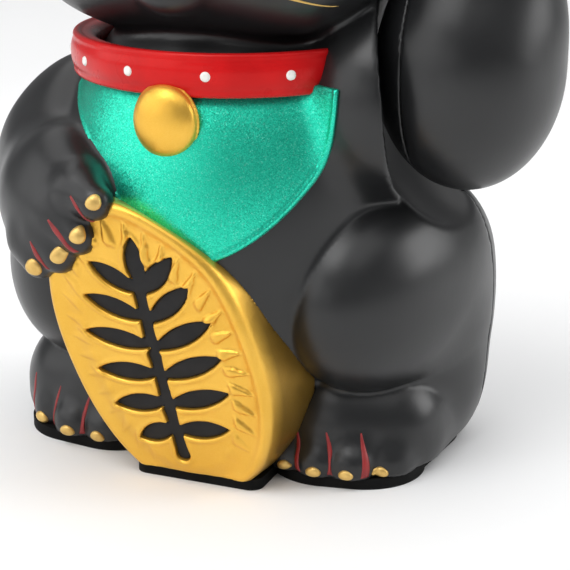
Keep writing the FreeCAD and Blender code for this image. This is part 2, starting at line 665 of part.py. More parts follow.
def build():
    outer = grown(BODY)
    front, rear = shell_halves(outer)
    coin = koban_coin(outer)
    ring = collar_ring(outer, coin)
    bell = bell_solid()
    bib = largest(bib_skin().cut(fuse([outer, coin, ring])))
    cover, shell = arm_pieces()
    return {
        "front_shell": front,
        "rear_shell": rear,
        "koban_coin": coin,
        "collar_front": ring.common(front_half()),
        "collar_rear": ring.common(rear_half()),
        "bell": bell.cut(fuse([outer, ring, bib])),
        "bib": bib,
        "base_plate": base_plate(),
        "base_screws": base_screws(),
        "battery_door": battery_door(),
        "battery_cell": battery_cell(),
        "contact_positive": contact_positive(),
        "contact_negative": contact_negative(),
        "circuit_board": circuit_board(),
        "board_screws": board_screws(),
        "coil_bobbin": coil_bobbin(),
        "drive_coil": drive_coil(),
        "transistor": transistor(),
        "capacitor": capacitor(),
        "battery_wire_red": battery_wire(1),
        "battery_wire_black": battery_wire(-1),
        "pivot_bracket": pivot_bracket(),
        "bracket_screws": bracket_screws(),
        "arm_axle": arm_axle(),
        "axle_clip": axle_clip(),
        "pendulum_lever": pendulum_lever(),
        "drive_magnet": drive_magnet(),
        "counterweight": counterweight(),
        "arm_shell": shell,
        "arm_cover": cover,
    }


os.makedirs("parts", exist_ok=True)
for node, shape in build().items():
    print(node, shape.isValid(), len(shape.Solids), round(shape.Volume))
    shape.exportStep("parts/" + node + ".step")
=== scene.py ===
import bpy
import json
import math
import numpy as np
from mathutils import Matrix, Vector


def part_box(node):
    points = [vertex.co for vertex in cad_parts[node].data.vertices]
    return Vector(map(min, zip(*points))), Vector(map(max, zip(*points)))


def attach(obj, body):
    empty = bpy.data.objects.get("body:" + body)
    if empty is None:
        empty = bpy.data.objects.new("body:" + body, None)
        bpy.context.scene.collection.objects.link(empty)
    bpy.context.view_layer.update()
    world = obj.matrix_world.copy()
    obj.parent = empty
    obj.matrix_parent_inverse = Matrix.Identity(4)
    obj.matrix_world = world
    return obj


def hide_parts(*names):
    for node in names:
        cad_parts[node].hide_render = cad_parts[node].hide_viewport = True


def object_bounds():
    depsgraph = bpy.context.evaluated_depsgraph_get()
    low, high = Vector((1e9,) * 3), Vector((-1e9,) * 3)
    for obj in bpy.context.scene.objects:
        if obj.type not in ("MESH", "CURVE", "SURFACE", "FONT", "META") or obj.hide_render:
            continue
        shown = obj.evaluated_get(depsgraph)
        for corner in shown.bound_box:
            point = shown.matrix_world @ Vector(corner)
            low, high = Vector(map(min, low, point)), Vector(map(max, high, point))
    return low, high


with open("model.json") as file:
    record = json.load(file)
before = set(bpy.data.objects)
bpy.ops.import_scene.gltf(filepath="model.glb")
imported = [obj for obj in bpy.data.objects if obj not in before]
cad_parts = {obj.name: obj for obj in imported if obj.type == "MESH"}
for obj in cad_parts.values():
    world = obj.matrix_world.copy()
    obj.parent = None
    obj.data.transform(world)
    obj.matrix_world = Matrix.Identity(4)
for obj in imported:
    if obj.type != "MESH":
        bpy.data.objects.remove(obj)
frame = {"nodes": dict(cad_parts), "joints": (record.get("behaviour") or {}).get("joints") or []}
cad_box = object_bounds()

# Lengths are in design millimetres, and MM turns one into metres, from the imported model's height.
# Only the finishes' textures, the lights and the floor are in metres.
MM = (cad_box[1][2] - cad_box[0][2]) / 200.0
FINE = 1.0      # coarser meshes while other pieces are being worked on
PIVOT = np.array(frame["joints"][0]["pos_m"]) / MM
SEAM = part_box("front_shell")[1][1] / MM
ARM_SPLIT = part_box("arm_cover")[1][0] / MM
BASE_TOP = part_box("front_shell")[0][2] / MM
FIT_GAP = 0.4                          # between a glued-on piece and the body behind it
WALL = 2.2
ARM_WALL = 1.6
SCREW_HOLE_R = 1.45
BOSS_R = 3.6
BOSS_TOP = 18.0
AXLE_R = 1.5
AXLE_HOLE_R = 5
HUB_R = 4


# ------------------------------------------------------------ signed distances
# Points are rows of an array. A distance is negative inside a form.

def turn_matrix(about_x=0.0, about_y=0.0, about_z=0.0):
    a, b, c = np.radians([about_x, about_y, about_z])
    rx = np.array([[1, 0, 0], [0, np.cos(a), -np.sin(a)], [0, np.sin(a), np.cos(a)]])
    ry = np.array([[np.cos(b), 0, np.sin(b)], [0, 1, 0], [-np.sin(b), 0, np.cos(b)]])
    rz = np.array([[np.cos(c), -np.sin(c), 0], [np.sin(c), np.cos(c), 0], [0, 0, 1]])
    return rz @ ry @ rx


def ball(p, centre, radii, turn=(0.0, 0.0, 0.0)):
    """An ellipsoid."""
    q = p - np.array(centre)
    if any(turn):
        q = q @ turn_matrix(*turn)
    radii = np.array(radii, float)
    near = np.linalg.norm(q / radii, axis=1)
    slope = np.linalg.norm(q / radii ** 2, axis=1)
    return near * (near - 1) / np.maximum(slope, 1e-9)


def limb(p, start, end, start_radius, end_radius):
    """A round-ended cone."""
    start, end = np.array(start, float), np.array(end, float)
    axis = end - start
    length2 = axis @ axis
    taper = start_radius - end_radius
    side2 = length2 - taper * taper
    from_start = p - start
    along = from_start @ axis
    past = along - length2
    across2 = np.sum((from_start * length2 - np.outer(along, axis)) ** 2, axis=1)
    edge = np.sign(taper) * taper * taper * across2
    on_side = (np.sqrt(across2 * side2 / length2) + along * taper) / length2 - start_radius
    on_end = np.sqrt(across2 + past * past * length2) / length2 - end_radius
    on_start = np.sqrt(across2 + along * along * length2) / length2 - start_radius
    at_end = np.sign(past) * side2 * past * past * length2 > edge
    at_start = np.sign(along) * side2 * along * along * length2 < edge
    return np.where(at_end, on_end, np.where(at_start, on_start, on_side))


def rod(p, start, end, radius):
    """A flat-ended cylinder."""
    start, end = np.array(start, float), np.array(end, float)
    axis = end - start
    length = np.linalg.norm(axis)
    along = (p - start) @ axis / length
    across = np.sqrt(np.maximum(np.sum((p - start) ** 2, axis=1) - along ** 2, 0.0))
    return np.maximum(across - radius, np.maximum(-along, along - length))


def join(a, b, k):
    """Union with a fillet about k wide."""
    h = np.clip(0.5 + 0.5 * (b - a) / k, 0, 1)
    return b * (1 - h) + a * h - k * h * (1 - h)


def within(a, b, k=0.01):
    """Intersection with a rounded edge about k wide."""
    return -join(-a, -b, k)


def carve(a, b, k=0.01):
    """a without b, with a rounded edge about k wide."""
    return -join(-a, b, k)


# ------------------------------------------------------------ the cat's forms

def chest(p):
    d = ball(p, (0, -9, 66), (46, 49, 64))
    d = join(d, ball(p, (0, 0, 84), (52, 35, 36)), 8)
    d = join(d, ball(p, (0, 8, 50), (50, 35, 54)), 8)
    return join(d, ball(p, (44, -9, 100), (23, 33, 28)), 8)


def rump(p):
    d = limb(p, (-25, 16, 20), (25, 16, 20), 24, 24)
    d = join(d, limb(p, (-16, -6, 14), (16, -6, 14), 25, 25), 6)
    tail = limb(p, (14, 36, 16), (25, 38, 34), 8, 5)
    return join(d, tail, 3)


# Toes of the left foot (side 1) and the right foot (side -1): (root x, root y, tip x, tip y)
TOES = {
    1: [(29, -15, 23.6, -30.5), (33, -14, 32, -32), (37.5, -13, 40.2, -31), (42.5, -10, 48.2, -25.3)],
    -1: [(33, -15, 29.5, -32), (37.5, -14, 39, -31.5), (42, -10, 48, -26), (45, -5, 54.5, -16.5)],
}
OUT = {1: 0.0, -1: 2.5}      # how much further out than the left leg each leg stands


def foot(p, side):
    out = OUT[side]
    d = limb(p, (side * 33, -17, 12.5), (side * (39 + out), -14, 11.5), 18.8, 17.8)
    d = join(d, limb(p, (side * (42.5 + out), -12.5, 11), (side * (43.8 + out), 6, 13.5), 17.6, 18.5), 5)
    toes = None
    for rx, ry, tx, ty in TOES[side]:
        toe = limb(p, (side * rx, ry, 15.5), (side * tx, ty, 5.6), 12, 7.2)
        toes = toe if toes is None else join(toes, toe, 0.8)
    return join(d, toes, 2.5)


def ramp(value, low, high):
    t = np.clip((value - low) / (high - low), 0, 1)
    return t * t * (3 - 2 * t)


def leg(p, side):
    haunch = ball(p, (side * (42 + 0.8 * OUT[side]), -7, 48.6), (22.8, 40, 29.7), (0, 0, -side * 12))
    haunch = join(haunch, ball(p, (side * 44, 8, 30), (20.5, 24, 26)), 8)
    return join(haunch, foot(p, side), 1.2 + 8 * ramp(p[:, 1], -22, 2))


# Toes of the paw on the coin: tip, and how far behind it the toe begins
COIN_TOES = [
    ((-15.2, -62.2, 77.3), (-5.5, 3.5, 1.5)),
    ((-20.8, -60.4, 67.7), (-5.5, 3.5, 3.2)),
    ((-27.4, -59, 61.8), (-5, 3.5, 3.5)),
    ((-33.6, -57.6, 59.3), (-4, 3.5, 3.5)),
]


def paw_on_coin(p):
    d = ball(p, (-45, -12, 77), (18.5, 21, 27.5), (0, 12, 0))
    d = join(d, limb(p, (-48, -17, 74.4), (-31.6, -41.6, 75), 15.1, 14.7), 16)
    d = join(d, limb(p, (-43.1, -30.6, 65.3), (-36.4, -45.1, 61.6), 11.6, 9.4), 12)
    d = join(d, limb(p, (-37, -42, 73), (-27.6, -51.3, 71.5), 13, 11.2), 10)
    d = join(d, limb(p, (-33, -45, 82), (-23.8, -53, 78), 7.5, 7.5), 6)
    toes = None
    for tip, back in COIN_TOES:
        toe = limb(p, np.add(tip, back), tip, 5.8, 4.6)
        toes = toe if toes is None else join(toes, toe, 1.5)
    return join(d, toes, 5)


def head(p):
    d = ball(p, (0, -12, 146), (50, 44, 39))
    for side in (-1, 1):
        d = join(d, ball(p, (side * 24, -30, 133), (21, 19, 15)), 10)
        d = join(d, ball(p, (side * 6.5, -51, 134), (9, 7, 7)), 3)
        ear = limb(p, (side * 28, -8, 168), (side * 35, -8, 196), 16, 4)
        ear = carve(ear, limb(p, (side * 29, -24, 176), (side * 35.5, -16, 193), 9, 2), 1.5)
        d = join(d, ear, 3)
    return join(d, ball(p, (0, -48, 127), (9, 7, 6)), 4)


def pocket(p, grow=0.0):
    return ball(p, (66, PIVOT[1], PIVOT[2]), (30 + grow, 38 + grow, 39 + grow))


def trunk(p):
    return join(chest(p), rump(p), 5)


def torso(p):
    return join(trunk(p), paw_on_coin(p), 3.5)


def body(p):
    d = torso(p)
    for side in (-1, 1):
        d = join(d, leg(p, side), 1.6)
    return join(d, head(p), 3)


# Toes of the raised paw: x, and how far the arc they lie on lifts each
RAISED_TOES = [(60.5 + 6.3 * n, 2.0 * math.sin(math.pi * (n + 0.5) / 4)) for n in range(4)]


def raised_arm(p):
    d = ball(p, (62.5, -10, 107), (23.4, 26.8, 31))
    d = join(d, limb(p, (65, -8, 122), (70.5, -14, 160), 18, 15.5), 8)
    d = join(d, ball(p, (70, -18, 168), (15.5, 18, 16)), 6)
    toes = None
    for x, rise in RAISED_TOES:
        toe = limb(p, (x, -20, 177 + rise), (x, -33, 171 + rise), 7.0, 5.2)
        toes = toe if toes is None else join(toes, toe, 0.8)
    return join(d, toes, 4)


# ------------------------------------------------------------ meshing a distance field

BLOCK = 8                # grid points along a block's side
BLOCKS_AT_ONCE = 400


def sampled(field, origin, counts, step):
    """The field on a grid. Blocks far from the surface keep the value at their middle."""
    block = BLOCK
    counts = [int(math.ceil(n / block)) * block for n in counts]
    values = np.empty(counts, np.float32)
    blocks = np.stack(np.meshgrid(*[np.arange(n // block) for n in counts], indexing="ij"), -1)
    blocks = blocks.reshape(-1, 3)
    middles = origin + (blocks + 0.5) * block * step
    middle_values = field(middles)
    near = np.abs(middle_values) < 1.25 * block * step
    cube = np.stack(np.meshgrid(*[np.arange(block)] * 3, indexing="ij"), -1).reshape(-1, 3)
    for (i, j, k), value in zip(blocks[~near] * block, middle_values[~near]):
        values[i:i + block, j:j + block, k:k + block] = value
    for first in range(0, int(near.sum()), BLOCKS_AT_ONCE):
        corners = blocks[near][first:first + BLOCKS_AT_ONCE] * block
        points = origin + (corners[:, None, :] + cube[None, :, :]) * step
        found = field(points.reshape(-1, 3)).reshape(-1, block, block, block)
        for (i, j, k), part in zip(corners, found):
            values[i:i + block, j:j + block, k:k + block] = part
    return values


def surface_net(field, low, high, step):
    """Quads over the field's zero surface: one vertex in each cell that the surface crosses."""
    origin = np.array(low, float) - 1.5 * step
    counts = np.ceil((np.array(high, float) - origin) / step).astype(int) + 3
    values = sampled(field, origin, counts, step)
    inside = values < 0
    corner = [(i, j, k) for i in (0, 1) for j in (0, 1) for k in (0, 1)]
    size = [n - 1 for n in values.shape]

    def at(offset, array):
        i, j, k = offset
        return array[i:i + size[0], j:j + size[1], k:k + size[2]]

    total = sum(at(c, inside).astype(np.int8) for c in corner)
    cells = np.argwhere((total > 0) & (total < 8))
    number = np.full(size, -1, np.int64)
    number[tuple(cells.T)] = np.arange(len(cells))
    place = np.zeros((len(cells), 3))
    crossings = np.zeros(len(cells))
    for a in corner:
        for axis in range(3):
            if a[axis]:
                continue
            b = tuple(1 if n == axis else a[n] for n in range(3))
            va = at(a, values)[tuple(cells.T)]
            vb = at(b, values)[tuple(cells.T)]
            crosses = (va < 0) != (vb < 0)
            t = np.where(crosses, va / np.where(crosses, va - vb, 1.0), 0.0)
            point = np.array(a, float) + np.outer(t, np.array(b) - np.array(a))
            place += point * crosses[:, None]
            crossings += crosses
    vertices = origin + (cells + place / crossings[:, None]) * step
    quads = []
    for axis in range(3):
        u, v = (axis + 1) % 3, (axis + 2) % 3
        low_end = inside[tuple(slice(0, -1) if n == axis else slice(None) for n in range(3))]
        high_end = inside[tuple(slice(1, None) if n == axis else slice(None) for n in range(3))]
        edges = np.argwhere(low_end != high_end)
        edges = edges[(edges[:, u] > 0) & (edges[:, v] > 0)]
        leaving = low_end[tuple(edges.T)]
        ring = []
        for du, dv in ((-1, -1), (0, -1), (0, 0), (-1, 0)):
            cell = edges.copy()
            cell[:, u] += du
            cell[:, v] += dv
            ring.append(number[tuple(cell.T)])
        quad = np.stack(ring, 1)
        quad[~leaving] = quad[~leaving][:, ::-1]
        quads.append(quad)
    return vertices, np.concatenate(quads)


def slope_of(field, points):
    """The unit vector away from the surface, at each point."""
    h = 0.05
    slope = np.stack([field(points + h * e) - field(points - h * e) for e in np.eye(3)], 1)
    return slope / np.maximum(np.linalg.norm(slope, axis=1), 0.02 * h)[:, None]


def settled(field, points, rounds=2, reach=0.5):
    """Moves points onto the zero surface."""
    slope = slope_of(field, points)
    for _ in range(rounds):
        points = points - slope * np.clip(field(points), -reach, reach)[:, None]
    return points


def new_piece(name, vertices, faces, rides_on, finish):
    """A smooth-shaded mesh object from design millimetres."""
    mesh = bpy.data.meshes.new(name)
    mesh.from_pydata((np.asarray(vertices) * MM).tolist(), [], np.asarray(faces).tolist())
    mesh.update()
    mesh.polygons.foreach_set("use_smooth", [True] * len(mesh.polygons))
    mesh.materials.append(finish)
    piece = bpy.data.objects.new(name, mesh)
    bpy.context.scene.collection.objects.link(piece)
    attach(piece, rides_on)
    return piece


def sculpt(name, field, low, high, step, rides_on, finish):
    """A piece from a distance field."""
    vertices, faces = surface_net(field, low, high, step * FINE)
    return new_piece(name, settled(field, vertices), faces, rides_on, finish)


def applied(name, field, patches, rides_on, finish, sunk=0.5):
    """Thin closed pads that hug a surface. A patch is a grid of points near it and how far each stands up."""
    points = np.concatenate([np.asarray(grid, float).reshape(-1, 3) for grid, _ in patches])
    for _ in range(6):
        points = settled(field, points, 1, 2.0)
    normals = slope_of(field, points)
    vertices, faces, done, used = [], [], 0, 0
    for grid, rise in patches:
        n, m = rise.shape
        here = points[done:done + n * m].reshape(n, m, 3)
        out = normals[done:done + n * m].reshape(n, m, 3)
        done += n * m
        across = np.cross(here[1:, 1:] - here[:-1, :-1], here[:-1, 1:] - here[1:, :-1])
        if np.sum(across * out[:-1, :-1]) < 0:
            here, out, rise = here[:, ::-1], out[:, ::-1], rise[:, ::-1]
        vertices += [(here + out * rise[..., None]).reshape(-1, 3), (here - out * sunk).reshape(-1, 3)]
        top = used + np.arange(n * m).reshape(n, m)
        below = top + n * m
        used += 2 * n * m
        quads = np.stack([top[:-1, :-1], top[1:, :-1], top[1:, 1:], top[:-1, 1:]], -1).reshape(-1, 4)
        faces += [quads, (quads + n * m)[:, ::-1]]
        edge = np.concatenate([top[0, :-1], top[:-1, -1], top[-1, :0:-1], top[:0:-1, 0]])
        low = np.concatenate([below[0, :-1], below[:-1, -1], below[-1, :0:-1], below[:0:-1, 0]])
        faces.append(np.stack([edge, np.roll(edge, -1), np.roll(low, -1), low], -1))
    return new_piece(name, np.concatenate(vertices), np.concatenate(faces), rides_on, finish)


def oval(centre, along, across, height, taper=0.0, count=13):
    """A domed oval patch; along and across are its half axes as vectors, and taper narrows its far end."""
    u, v = np.meshgrid(np.linspace(-1, 1, count), np.linspace(-1, 1, count), indexing="ij")
    x = u * np.sqrt(1 - v * v / 2)
    y = v * np.sqrt(1 - u * u / 2)
    spread = y * (1 - taper * x)
    grid = np.array(centre) + x[..., None] * np.array(along) + spread[..., None] * np.array(across)
    return grid, height * np.sqrt(np.clip(1 - x * x - y * y, 0, 1))


def smooth_path(points, count):
    """A Catmull-Rom curve through the points."""
    points = np.array(points, float)
    padded = np.concatenate([[2 * points[0] - points[1]], points, [2 * points[-1] - points[-2]]])
    place = np.linspace(0, len(points) - 1, count)
    first = np.minimum(place.astype(int), len(points) - 2)
    t = (place - first)[:, None]
    a, b, c, d = (padded[first + n] for n in range(4))
    bend = (2 * a - 5 * b + 4 * c - d) * t ** 2
    twist = (3 * b - a - 3 * c + d) * t ** 3
    return 0.5 * (2 * b + (c - a) * t + bend + twist)


def stroke(points, widths, facing, height, count=21):
    """A brush-stroke patch along a path; widths are half widths, spread evenly along it."""
    path = smooth_path(points, count)
    share = np.linspace(0, 1, count)
    half = np.interp(share, np.linspace(0, 1, len(widths)), widths)
    side = np.cross(np.gradient(path, axis=0), np.array(facing, float))
    side /= np.linalg.norm(side, axis=1)[:, None]
    v = np.linspace(-1, 1, 7)
    grid = path[:, None, :] + (side * half[:, None])[:, None, :] * v[None, :, None]
    rise = height * np.sqrt(1 - v ** 2)[None, :] * np.minimum(1, half / max(widths) + 0.15)[:, None]
    rise[0] = rise[-1] = 0
    return grid, rise


# ------------------------------------------------------------ shells and arm

BASE_SCREWS = [(-37, -14), (37, -14), (-38, 13), (38, 13)]
BRACKET_SCREWS_X = (5, 27)
BRACKET_SCREW_Z = 91


def hollow_body(p):
    """The moulded skin of the body, with its screw bosses, the arm's pocket and the axle hole."""
    solid = body(p)
    outer = carve(solid, pocket(p), 1.4)
    inner = carve(solid + WALL, pocket(p, WALL), 0.6)
    d = carve(outer, inner)
    for x, y in BASE_SCREWS:
        boss = rod(p, (x, y, BASE_TOP + 2), (x, y, BOSS_TOP), BOSS_R)
        wall_x = math.copysign(60, x)
        rib = np.maximum(np.abs(p[:, 1] - y) - 0.8, np.maximum(p[:, 2] - BOSS_TOP, BASE_TOP + 2 - p[:, 2]))
        rib = np.maximum(rib, np.maximum(np.minimum(x, wall_x) - p[:, 0], p[:, 0] - np.maximum(x, wall_x)))
        boss = np.maximum(np.minimum(boss, rib), solid + 0.5)
        d = carve(np.minimum(d, boss), rod(p, (x, y, 0), (x, y, BOSS_TOP - 1.5), SCREW_HOLE_R))
    d = carve(d, rod(p, (33, PIVOT[1], PIVOT[2]), (45, PIVOT[1], PIVOT[2]), AXLE_HOLE_R))
    return within(d, BASE_TOP - p[:, 2], 0.3)


def front_shell(p):
    return within(hollow_body(p), p[:, 1] - SEAM, 0.35)


def rear_shell(p):
    d = hollow_body(p)
    for x in BRACKET_SCREWS_X:
        boss = rod(p, (x, 5.5, BRACKET_SCREW_Z), (x, 60, BRACKET_SCREW_Z), BOSS_R)
        boss = np.maximum(boss, body(p) + 0.5)
        hole = rod(p, (x, 0, BRACKET_SCREW_Z), (x, 17, BRACKET_SCREW_Z), SCREW_HOLE_R)
        d = carve(np.minimum(within(d, SEAM - p[:, 1], 0.35), boss), hole)
    return d


def arm_skin(p):
    d = raised_arm(p)
    return carve(d, d + ARM_WALL)


def arm_shell(p):
    return within(arm_skin(p), ARM_SPLIT - p[:, 0], 0.3)


def arm_cover(p):
    d = within(arm_skin(p), p[:, 0] - ARM_SPLIT, 0.3)
    d = np.minimum(d, rod(p, (33.6, PIVOT[1], PIVOT[2]), (49, PIVOT[1], PIVOT[2]), HUB_R))
    return carve(d, rod(p, (0, PIVOT[1], PIVOT[2]), (49, PIVOT[1], PIVOT[2]), AXLE_R))


# Piece, node, field, low corner, high corner, mesh step and body
SHELLS = [
    ("front_body", "front_shell", front_shell, (-74, -70, 3), (70, 8, 201), 1.0, "housing"),
    ("rear_body", "rear_shell", rear_shell, (-68, 5, 3), (68, 48, 188), 1.1, "housing"),
    ("beckoning_arm", "arm_shell", arm_shell, (51, -44, 70), (90, 22, 190), 0.9, "waving_arm"),
    ("beckoning_arm_cover", "arm_cover", arm_cover, (33, -38, 72), (53, 20, 142), 0.9, "waving_arm"),
]


def add_shells():
    for name, node, field, low, high, step, rides_on in SHELLS:
        piece = sculpt(name, field, low, high, step, rides_on, satin_black())
        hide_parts(node)


# ------------------------------------------------------------ coin

COIN_CENTRE = (-3.0, -54.5, 37.4)
COIN_TURN = turn_matrix(11.31) @ turn_matrix(0, -16.5)
COIN_HALF = (26.7, 42.0)
COIN_POWER = 2.24
COIN_FLARE = 0.22          # how much each half axis grows per millimetre of depth
COIN_TRIM = (0.572, 0.598, 0.562, 27.7)      # plane that cuts the flare back at the top, on the cat's left:
                                             # its direction in the coin's own axes, and its distance
COIN_TRIM_ROUND = 4
COIN_DEPTH = 20
INLAY_DEPTH = 1.5
TEETH = 34
TEETH_RING = (20, 35)      # half axes of the oval that the teeth are spread along
LEAF_HALF_WIDTH = 2.3
# The sprig, in the plane of the coin's face: the stalk's joints, then each leaf's root and tip
STALK = [(-4.8, -31), (-3.2, -15), (-0.8, 1), (2.6, 20)]
LEAVES = [
    ((2.6, 19), (5.5, 31.5)), ((2.0, 17.5), (-8, 27.5)), ((2.8, 17), (14, 24.5)),
    ((1.0, 10), (-13, 19)), ((1.4, 9), (16, 16.5)),
    ((-0.4, 2.5), (-17, 9.5)), ((-0.2, 1.5), (18, 6.5)),
    ((-1.6, -5.5), (-18, -1.5)), ((-1.4, -6.5), (17, -3.5)),
    ((-2.8, -13.5), (-17.5, -12)), ((-2.6, -14.5), (15, -13.5)),
    ((-3.8, -21), (-14.5, -22.5)), ((-3.7, -22), (11, -23.5)),
]


def coin_frame(p):
    q = (p - np.array(COIN_CENTRE)) @ COIN_TURN
    return q[:, 0], q[:, 1], q[:, 2]


def coin_edge(x, y, z):
    """Distance from the flaring side and its trimmed part; negative inside."""
    power = COIN_POWER
    a = COIN_HALF[0] + COIN_FLARE * y
    b = COIN_HALF[1] + COIN_FLARE * y
    u, v = np.abs(x) / a, np.abs(z) / b
    size = np.maximum(u ** power + v ** power, 1e-9) ** (1 / power)
    slope = np.hypot((u / size) ** (power - 1) / a, (v / size) ** (power - 1) / b)
    trim = COIN_TRIM[0] * x + COIN_TRIM[1] * y + COIN_TRIM[2] * z - COIN_TRIM[3]
    return within((size - 1) / slope, trim, COIN_TRIM_ROUND)


def tooth_phase(x, z):
    """Counts the teeth round the coin, from 0 to TEETH, evenly along their ring."""
    a, b = TEETH_RING
    turn = np.linspace(-math.pi, math.pi, 361)
    rim_x, rim_z = a * np.cos(turn), b * np.sin(turn)
    along = np.concatenate([[0], np.cumsum(np.hypot(np.diff(rim_x), np.diff(rim_z)))])
    return np.interp(np.arctan2(z / b, x / a), turn, along / along[-1]) * TEETH


def leaf(x, z, root, tip):
    """Distance from a leaf: the lens between two arcs that meet at its root and its tip."""
    half_width = LEAF_HALF_WIDTH
    dx, dz = tip[0] - root[0], tip[1] - root[1]
    length = math.hypot(dx, dz)
    along = ((x - root[0]) * dx + (z - root[1]) * dz) / length - length / 2
    across = np.abs((x - root[0]) * dz - (z - root[1]) * dx) / length
    radius = (length * length / 4 + half_width * half_width) / (2 * half_width)
    return np.hypot(along, across + radius - half_width) - radius


def sprig(x, z):
    """A bamboo sprig: a jointed stalk with pointed leaves. Distance in the plane of the coin's face."""
    d = None
    for (x0, z0), (x1, z1) in zip(STALK, STALK[1:]):
        length = math.hypot(x1 - x0, z1 - z0)
        t = np.clip(((x - x0) * (x1 - x0) + (z - z0) * (z1 - z0)) / length ** 2, 0.12, 0.92)
        swell = 1.7 + 0.8 * np.abs(2 * t - 1.04) ** 4
        part = np.hypot(x - x0 - t * (x1 - x0), z - z0 - t * (z1 - z0)) - swell
        d = part if d is None else np.minimum(d, part)
    for root, tip in LEAVES:
        d = np.minimum(d, leaf(x, z, root, tip) - 0.4)
    return d


def coin_relief(x, z):
    """How far the coin's face stands out from its plane: a rim, a ring of teeth and the sprig's lips."""
    inset = -coin_edge(x, 0.0, z)
    right = ramp(x + 0.3 * z, -14, 8)
    rise = (0.3 + 0.7 * right) * np.exp(-((inset - 1.6) / 1.5) ** 2) + 0.8 * ramp(inset, 4.5, 9)
    t = tooth_phase(x, z)
    lean = np.abs((t - np.floor(t)) * 2 - 1)
    width = 0.12 + 0.55 * ramp(inset, 3.2, 9.5)
    tooth = np.sqrt(np.clip(1 - (lean / width) ** 2, 0, 1))
    tooth *= ramp(inset, 3.4, 5) * ramp(-inset, -10.4, -8.6)
    rise += (0.35 + 0.65 * right) * ramp(z, -36, -22) * tooth
    return rise + 0.4 * np.exp(-((sprig(x, z) - 0.7) / 0.5) ** 2)


def coin(p):
    x, y, z = coin_frame(p)
    side = coin_edge(x, y, z)
    face = -(y + coin_relief(x, z)) * 0.8
    d = within(side, face, 1.6)
    d = carve(d, np.maximum(sprig(x, z), y - 0.7), 0.35)
    d = within(d, y - COIN_DEPTH, 0.3)
    d = np.maximum(d, BASE_TOP - p[:, 2])
    return np.maximum(d, -(body(p) + FIT_GAP))


def coin_inlay(p):
    x, y, z = coin_frame(p)
    return within(sprig(x, z) + 0.08, np.abs(y - INLAY_DEPTH / 2) - INLAY_DEPTH / 2, 0.3)


def add_coin():
    low, high = (-48, -66, 2.5), (42, -18, 84)
    piece = sculpt("koban", coin, low, high, 0.5, "housing", coin_gold())
    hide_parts("koban_coin")
    low, high = (-34, -64, 2), (28, -40, 76)
    sculpt("koban_sprig", coin_inlay, low, high, 0.5, "housing", ink_black())


# ------------------------------------------------------------ bib, collar and bell

BIB = (39.3, 105.0, 44.0)                 # half width, height of its top, drop
COLLAR = (0.0, -12.0, 107.9, 38.5)        # centre and radius
COLLAR_HALF_T = 3.6
COLLAR_HALF_H = 4.9
COLLAR_POWER = 2.6                        # how square its section is
COLLAR_BEAD = (1.9, 4.3, 1.1)             # the two beads: how far out, how far up or down, and radius
COLLAR_DOTS = 13
COLLAR_DOT_STEP = 28                      # degrees
COLLAR_DOT_R = 1.25
BELL = (0.0, -53.6, 96.6)
ARM_ARC = (-78, 23, 84.4)                # where the arm bounds the bib: x, z and radius


def bib_edge(p):
    """Distance past the bib's outline, seen from the front: an ellipse, cut by the arm's large arc."""
    u, v = p[:, 0] / BIB[0], (BIB[1] - p[:, 2]) / BIB[2]
    size = np.maximum(np.hypot(u, v), 1e-6)
    slope = np.hypot(u / size / BIB[0], v / size / BIB[2])
    arm = ARM_ARC[2] - np.hypot(p[:, 0] - ARM_ARC[0], p[:, 2] - ARM_ARC[1])
    return within((size - 1) / slope, arm, 1.5)


def bib(p):
    edge = bib_edge(p)
    bead = 0.45 * np.exp(-((edge + 0.8) / 0.5) ** 2)
    skin = trunk(p)
    d = within(skin - 0.7 - bead, edge, 0.5)
    d = within(d, -(skin + 0.6))
    d = within(d, 0.2 - paw_on_coin(p))
    d = np.maximum(d, p[:, 2] - BIB[1])
    d = np.maximum(d, p[:, 1] + 16)
    return np.maximum(d, -(collar_ring(p) + FIT_GAP))


def collar_ring(p):
    across = np.hypot(p[:, 0] - COLLAR[0], p[:, 1] - COLLAR[1]) - COLLAR[3]
    up = p[:, 2] - COLLAR[2]
    u, v = np.abs(across) / COLLAR_HALF_T, np.abs(up) / COLLAR_HALF_H
    size = np.maximum(u ** COLLAR_POWER + v ** COLLAR_POWER, 1e-9) ** (1 / COLLAR_POWER)
    slope = np.hypot((u / size) ** (COLLAR_POWER - 1) / COLLAR_HALF_T,
                     (v / size) ** (COLLAR_POWER - 1) / COLLAR_HALF_H)
    band = (size - 1) / np.maximum(slope, 1e-6)
    out, rise, radius = COLLAR_BEAD
    for bead_z in (-rise, rise):
        band = join(band, np.hypot(across - out, up - bead_z) - radius, 0.3)
    return band


def collar(p):
    d = np.maximum(collar_ring(p), -(body(p) + FIT_GAP))
    return carve(d, pocket(p), 0.4)


def front_collar(p):
    return within(collar(p), p[:, 1] - SEAM, 0.3)


def rear_collar(p):
    return within(collar(p), SEAM - p[:, 1], 0.3)


def bell(p):
    dome = ball(p, BELL, (8.3, 4.6, 9.0))
    q = p - np.array(BELL)
    ring = np.hypot(q[:, 0] / 8.4, q[:, 2] / 9.1) * 8.7
    rim = np.hypot(ring - 8.6, q[:, 1] - 0.5) - 0.42
    d = join(dome, rim, 0.2)
    d = np.maximum(d, q[:, 1] - 3)
    return np.maximum(d, -(body(p) + FIT_GAP))


def collar_point(angle):
    """A point on the outside of the collar; the angle is from the front, towards the cat's left."""
    a = math.radians(angle)
    reach = COLLAR[3] + COLLAR_HALF_T
    return np.array([COLLAR[0] + reach * math.sin(a), COLLAR[1] - reach * math.cos(a), COLLAR[2]])


